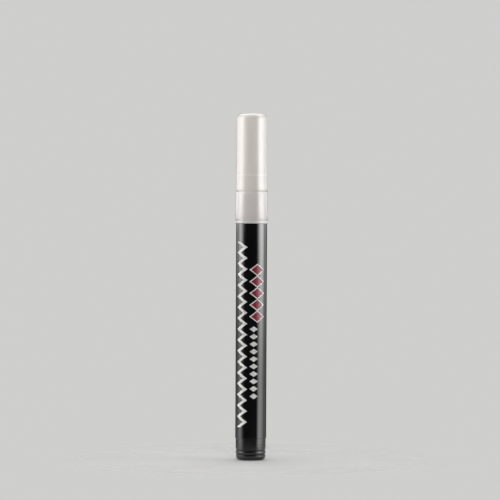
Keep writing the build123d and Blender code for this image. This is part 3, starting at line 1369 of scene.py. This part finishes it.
@dataclass
class BarrelPrint:
    """Plain screen print on the barrel: a zigzag line, a chain of edged diamonds and a small chain."""

    tube: Piece
    ink: float = 0.02 * MM
    lift: float = 0.004 * MM
    clearance: float = 1.0 * MM
    cuts: int = 11
    stroke: float = 1.9 * MM
    edge: float = 0.42 * MM
    zigzag: Band = Band(
        "print_zigzag",
        bearing=-38.0,
        low=13.4 * MM,
        pitch=4.4 * MM,
        count=17,
        width=5.1 * MM,
        length=4.4 * MM,
    )
    diamonds: Band = Band(
        "print_diamond",
        bearing=23.0,
        low=58.1 * MM,
        pitch=4.7 * MM,
        count=5,
        width=6.4 * MM,
        length=5.0 * MM,
    )
    drops: Band = Band(
        "print_small_diamonds",
        bearing=10.0,
        low=26.0 * MM,
        pitch=3.0 * MM,
        count=10,
        width=3.4 * MM,
        length=2.3 * MM,
    )
    white: ScreenInk = ScreenInk(
        "ink_white", tone=(0.86, 0.85, 0.83, 1.0), shade=(0.70, 0.69, 0.67, 1.0)
    )
    red: ScreenInk = ScreenInk(
        "ink_red", tone=(0.25, 0.011, 0.024, 1.0), shade=(0.15, 0.006, 0.014, 1.0)
    )

    def build(self) -> None:
        """Prints the three bands."""
        white, red = self.white.material(), self.red.material()
        self.lay(self.draw_zigzag(self.zigzag), self.zigzag, Slot.WHITE_INK, white)
        for keep, slot, ink in ((Field.INSIDE, Slot.RED_INK, red), (Field.EDGE, Slot.WHITE_INK, white)):
            band = replace(self.diamonds, name=f"{self.diamonds.name}_{keep.value}")
            chain = self.draw_diamonds(band)
            self.inset(chain, keep)
            self.lay(chain, band, slot, ink)
        self.lay(self.draw_diamonds(self.drops), self.drops, Slot.WHITE_INK, white)

    def front(self) -> float:
        """Where flat motifs are drawn, just in front of the barrel."""
        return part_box("barrel")[0].y - self.clearance

    def draw_zigzag(self, band: Band) -> Piece:
        """Draws the zigzag flat in front of the barrel.

        Args:
            band: where it goes and how large it is.

        Returns:
            The flat zigzag.
        """
        half = self.stroke / 2
        middle = band.low + half
        place = (half - band.width / 2, self.front(), middle)
        bpy.ops.object.select_all(action="DESELECT")
        bpy.ops.mesh.primitive_plane_add(size=self.stroke, location=place, rotation=(math.pi / 2, 0, 0))
        motif = take_up(band.name)
        side = band.width - self.stroke
        with editing(motif):
            bpy.ops.mesh.select_mode(type="VERT")
            bpy.ops.mesh.select_all(action="DESELECT")
            mesh = bmesh.from_edit_mesh(motif.data)
            for vertex in mesh.verts:
                vertex.select_set(vertex.co.z > middle)
            bmesh.update_edit_mesh(motif.data)
            bpy.ops.mesh.delete(type="VERT")
            bpy.ops.mesh.select_mode(type="EDGE")
            bpy.ops.mesh.select_all(action="SELECT")
            for across in (side, -side):
                bpy.ops.mesh.extrude_region_move(
                    TRANSFORM_OT_translate={"value": (across, 0, band.length / 2)}
                )
        self.repeat(motif, band)
        return motif

    def draw_diamonds(self, band: Band) -> Piece:
        """Draws a chain of diamonds flat in front of the barrel.

        Args:
            band: where it goes and how large its diamonds are.

        Returns:
            The flat chain.
        """
        place = (0, self.front(), band.low)
        bpy.ops.object.select_all(action="DESELECT")
        bpy.ops.mesh.primitive_circle_add(
            vertices=4, radius=0.5, fill_type="NGON", location=place, rotation=(math.pi / 2, 0, 0)
        )
        motif = take_up(band.name)
        with editing(motif):
            bpy.ops.transform.resize(value=(band.width, 1, band.length), center_override=place)
        self.repeat(motif, band)
        return motif

    def repeat(self, motif: Piece, band: Band) -> None:
        """Repeats a motif up the barrel.

        Args:
            motif: the flat motif.
            band: how often and how far apart it comes.
        """
        row = motif.modifiers.new("row", "ARRAY")
        row.count = band.count
        row.use_relative_offset = False
        row.use_constant_offset = True
        row.constant_offset_displace = (0, 0, band.pitch)
        row.use_merge_vertices = True
        row.merge_threshold = WELD
        apply_modifiers(motif)

    def inset(self, chain: Piece, keep: Field) -> None:
        """Parts the diamonds into edge and inside, and keeps one of them.

        Args:
            chain: the flat chain.
            keep: what is kept.
        """
        with editing(chain):
            bpy.ops.mesh.select_mode(type="FACE")
            bpy.ops.mesh.inset(thickness=self.edge, use_individual=True)
            if keep is Field.INSIDE:
                bpy.ops.mesh.select_all(action="INVERT")
            bpy.ops.mesh.delete(type="FACE")

    def lay(self, motif: Piece, band: Band, slot: Slot, ink: Material) -> None:
        """Lays a flat motif on the barrel, gives it the ink's thickness, turns it and dresses it.

        Args:
            motif: the flat motif.
            band: where it lies.
            slot: the ink's slot.
            ink: its finish.
        """
        with editing(motif):
            bpy.ops.mesh.subdivide(number_cuts=self.cuts)
        wrap = motif.modifiers.new("wrap", "SHRINKWRAP")
        wrap.target = self.tube
        wrap.wrap_method = "PROJECT"
        wrap.wrap_mode = "ABOVE_SURFACE"
        wrap.use_project_y = True
        wrap.use_positive_direction = True
        wrap.use_negative_direction = False
        wrap.offset = self.lift
        film = motif.modifiers.new("film", "SOLIDIFY")
        film.thickness = self.ink
        film.offset = 1.0
        apply_modifiers(motif)
        turn = -math.radians(band.bearing)
        with editing(motif):
            bpy.ops.mesh.normals_make_consistent(inside=False)
            bpy.ops.transform.rotate(value=turn, orient_axis="Z", center_override=(0, 0, 0))
        settle(motif, Body.MARKER, slot, ink)


def hang(lamp: bpy.types.Light, place: Vector, aim: Vector) -> Piece:
    """Hangs a lamp where the camera doesn't see it.

    Args:
        lamp: the lamp.
        place: where it hangs.
        aim: the direction that it shines in.

    Returns:
        The lamp's object.
    """
    holder = bpy.data.objects.new(lamp.name, lamp)
    bpy.context.collection.objects.link(holder)
    holder.location = place
    holder.rotation_euler = aim.to_track_quat("-Z", "Y").to_euler()
    holder.visible_camera = False
    return holder


@dataclass(frozen=True)
class SoftBox:
    """A long soft box beside the marker, brightest at one bearing and towards its top.

    Bearings are degrees round the marker from the camera's side, to the right where positive: where the
    box starts, where it peaks and where it falls to its far share. A tail goes on at that level. With a
    lean, in degrees a metre, the peak moves away with height. Between the two heights of its rise the
    box goes from its foot share to its full level.
    """

    name: str
    bearings: Size
    strength: float
    far_share: float
    rise: Point
    foot_share: float
    edges: Point = (-0.16, 0.28)
    distance: float = 1.5
    lean: float = 0.0
    tail: float = 0.0
    mirror_only: bool = False

    def beyond(self, place: str, edges: Point, strength: float) -> "SoftBox":
        """A panel over or under this one at the same bearings, seen only in mirror images.

        Args:
            place: what its name adds to this one's.
            edges: its lowest and highest edge.
            strength: its level.

        Returns:
            The panel.
        """
        name = f"{self.name}_{place}"
        level = replace(self, name=name, edges=edges, strength=strength, foot_share=1.0)
        return replace(level, lean=0.0, mirror_only=True)

    def build(self) -> None:
        """Hangs the lamp and grades its panel."""
        near, _, far = self.bearings
        low, high = self.edges
        end = far + math.copysign(self.tail, far)
        middle = math.radians((near + end) / 2)
        half = math.radians(abs(end - near) / 2)
        lamp = bpy.data.lights.new(self.name, "AREA")
        lamp.shape = "RECTANGLE"
        lamp.size = 2 * self.distance * math.tan(half)
        lamp.size_y = high - low
        lamp.energy = math.pi * lamp.size * lamp.size_y
        self.grade(lamp)
        place = Vector((math.sin(middle), -math.cos(middle), 0.0)) * self.distance
        holder = hang(lamp, place + Vector((0, 0, (low + high) / 2)), -place)
        holder.visible_diffuse = not self.mirror_only

    def grade(self, lamp: bpy.types.Light) -> None:
        """Grades the panel along its length and height.

        Args:
            lamp: the lamp.
        """
        lamp.use_nodes = True
        tree = NodeTree(lamp.node_tree)
        near, peak, far = [math.radians(bearing) for bearing in self.bearings]
        across, depth, height = tree.part(tree.add("ShaderNodeNewGeometry").outputs["Position"])
        bearing = tree.combine("ARCTAN2", across, tree.combine("MULTIPLY", depth, -1.0))
        crest = tree.combine("MULTIPLY_ADD", height, math.radians(self.lean), peak)
        level = tree.spread(bearing, (near, crest), (0.0, self.strength))
        fall = tree.spread(bearing, (crest, far), (1.0, self.far_share))
        rise = tree.spread(height, self.rise, (self.foot_share, 1.0))
        for share in (fall, rise):
            level = tree.combine("MULTIPLY", level, share)
        tree.feed(tree.nodes["Emission"].inputs["Strength"], level)


@dataclass(frozen=True)
class Fill:
    """A soft fill lamp aimed at the marker, which gives light and, if mirrored, a mirror image too."""

    name: str
    place: Size
    side: float
    energy: float
    mirrored: bool = False
    aim_share: float = 0.7

    def build(self) -> None:
        """Hangs the lamp."""
        lamp = bpy.data.lights.new(self.name, "AREA")
        lamp.size = self.side
        lamp.energy = self.energy
        place = Vector(self.place)
        holder = hang(lamp, place, Vector((0, 0, CAD_BOX[1].z * self.aim_share)) - place)
        holder.visible_glossy = self.mirrored


@dataclass
class Studio:
    """A plain pale floor, soft boxes at both sides, fills, a pale room and the camera.

    A row of beyond gives two panels' place and edges, and the right and the left one's strength.
    """

    pale: Colour = (0.62, 0.62, 0.61, 1.0)
    dim: float = 0.12
    mirror_dim: float = 0.02
    floor_sides: int = 96
    floor_radius: float = 0.1
    floor_tone: Colour = (0.74, 0.74, 0.73, 1.0)
    floor_rough: float = 0.7
    fade: Point = (0.03, 0.095)
    right: SoftBox = SoftBox(
        "soft_box_right",
        bearings=(40.0, 73.0, 120.0),
        strength=9.0,
        far_share=0.13,
        rise=(-0.06, 0.12),
        foot_share=0.40,
        lean=76.0,
        tail=20.0,
    )
    left: SoftBox = SoftBox(
        "soft_box_left",
        bearings=(-52.0, -89.0, -118.0),
        strength=6.0,
        far_share=0.20,
        rise=(0.0, 0.11),
        foot_share=0.36,
        tail=22.0,
    )
    crown_left: SoftBox = SoftBox(
        "soft_box_crown_left",
        bearings=(-38.0, -70.0, -110.0),
        strength=4.0,
        far_share=0.0,
        rise=(0.11, 0.16),
        foot_share=0.0,
        edges=CROWN_EDGES,
    )
    crown_right: SoftBox = SoftBox(
        "soft_box_crown_right",
        bearings=(34.0, 60.0, 88.0),
        strength=6.5,
        far_share=0.0,
        rise=CROWN_RISE,
        foot_share=0.0,
        edges=CROWN_EDGES,
        mirror_only=True,
    )
    edge_left: SoftBox = SoftBox(
        "soft_box_edge_left",
        bearings=(-82.0, -106.0, -140.0),
        strength=2.3,
        far_share=0.8,
        rise=CROWN_RISE,
        foot_share=0.0,
        edges=CROWN_EDGES,
        tail=15.0,
        mirror_only=True,
    )
    edge_right: SoftBox = SoftBox(
        "soft_box_edge_right",
        bearings=(102.0, 130.0, 150.0),
        strength=1.3,
        far_share=0.9,
        rise=CROWN_RISE,
        foot_share=0.0,
        edges=CROWN_EDGES,
        tail=10.0,
        mirror_only=True,
    )
    beyond: tuple[tuple[str, Point, float, float], ...] = (
        ("foot", (-1.2, -0.16), 3.9, 2.3),
        ("head", (0.28, 3.0), 3.2, 2.5),
    )
    fills: tuple[Fill, ...] = (
        Fill("fill_front", (0.0, -0.13, 0.25), side=0.1, energy=0.12),
        Fill("fill_left", (-0.46, -0.39, 0.25), side=0.3, energy=0.9),
        Fill("fill_right", (0.59, -0.1, 0.25), side=0.3, energy=0.5),
        Fill("fill_top", (0.0, 0.2, 0.6), side=0.6, energy=2.6, mirrored=True),
    )
    camera_place: Size = (-0.61 * MM, -1.0, 84.9 * MM)
    camera_roll: float = math.radians(-0.26)
    field: float = 202.5 * MM
    sensor: float = 36.0

    def build(self) -> None:
        """Lays the floor, sets the lights and the camera."""
        scene = bpy.context.scene
        scene.view_settings.view_transform = "Standard"
        self.lay_floor()
        crowns = (self.crown_left, self.crown_right, self.edge_left, self.edge_right)
        for panel in (self.right, self.left, *crowns):
            panel.build()
        for place, edges, right_strength, left_strength in self.beyond:
            self.right.beyond(place, edges, right_strength).build()
            self.left.beyond(place, edges, left_strength).build()
        for fill in self.fills:
            fill.build()
        self.light_room(scene)
        self.set_camera(scene)
        log.info("set the studio")

    def lay_floor(self) -> None:
        """Lays a pale disc that fades into the room away from the marker."""
        bpy.ops.object.select_all(action="DESELECT")
        bpy.ops.mesh.primitive_circle_add(
            vertices=self.floor_sides, radius=self.floor_radius, fill_type="NGON"
        )
        floor = take_up("studio_floor")
        with editing(floor):
            bpy.ops.mesh.inset(thickness=self.floor_radius / 2)
        sheet = NodeSheet("floor_pale")
        sheet.fix(Base_Color=self.floor_tone, Roughness=self.floor_rough)
        self.fade_floor(sheet)
        floor.data.materials.append(sheet.material)

    def fade_floor(self, sheet: NodeSheet) -> None:
        """Fades the floor into the room away from the marker, and leaves it clear from below.

        Args:
            sheet: the floor's nodes.
        """
        distance = sheet.add("ShaderNodeVectorMath", operation="LENGTH")
        sheet.feed(distance.inputs[0], sheet.place)
        away = sheet.spread(distance.outputs["Value"], self.fade, (0.0, 1.0))
        under = sheet.add("ShaderNodeNewGeometry").outputs["Backfacing"]
        clear = sheet.add("ShaderNodeBsdfTransparent").outputs["BSDF"]
        mix = sheet.add("ShaderNodeMixShader")
        sheet.feed(mix.inputs["Fac"], sheet.combine("MAXIMUM", away, under))
        sheet.feed(mix.inputs[1], sheet.shader.outputs["BSDF"])
        sheet.feed(mix.inputs[2], clear)
        sheet.feed(sheet.surface, mix.outputs["Shader"])

    def light_room(self, scene: bpy.types.Scene) -> None:
        """Gives the room a pale colour for the camera and a dim one for other rays.

        Args:
            scene: the scene.
        """
        world = bpy.data.worlds.new("studio_room")
        scene.world = world
        world.use_nodes = True
        tree = NodeTree(world.node_tree)
        rays = tree.add("ShaderNodeLightPath").outputs
        seen = tree.combine("MAXIMUM", rays["Is Camera Ray"], rays["Is Transmission Ray"])
        dull = tree.spread(rays["Is Glossy Ray"], (0.0, 1.0), (self.dim, self.mirror_dim))
        background = tree.nodes["Background"].inputs
        tree.feed(background["Color"], self.pale)
        tree.feed(background["Strength"], tree.combine("MAXIMUM", seen, dull))

    def set_camera(self, scene: bpy.types.Scene) -> None:
        """Puts the camera square in front of the marker, at the photograph's angle.

        Args:
            scene: the scene.
        """
        camera = bpy.data.cameras.new("camera_front")
        camera.sensor_width = self.sensor
        camera.lens = self.sensor * abs(self.camera_place[1]) / self.field
        holder = bpy.data.objects.new("camera_front", camera)
        bpy.context.collection.objects.link(holder)
        holder.location = self.camera_place
        holder.rotation_euler = (math.pi / 2, self.camera_roll, 0)
        scene.camera = holder


def main() -> None:
    """Builds and dresses the marker piece by piece, then lights it."""
    tube = BarrelTube().build()
    RearPlug().build()
    FrontSection().build()
    Nib().build()
    Cap().build()
    PumpValve().build()
    MixingBall().build()
    BarrelPrint(tube).build()
    Studio().build()


if __name__ == "__main__":
    main()
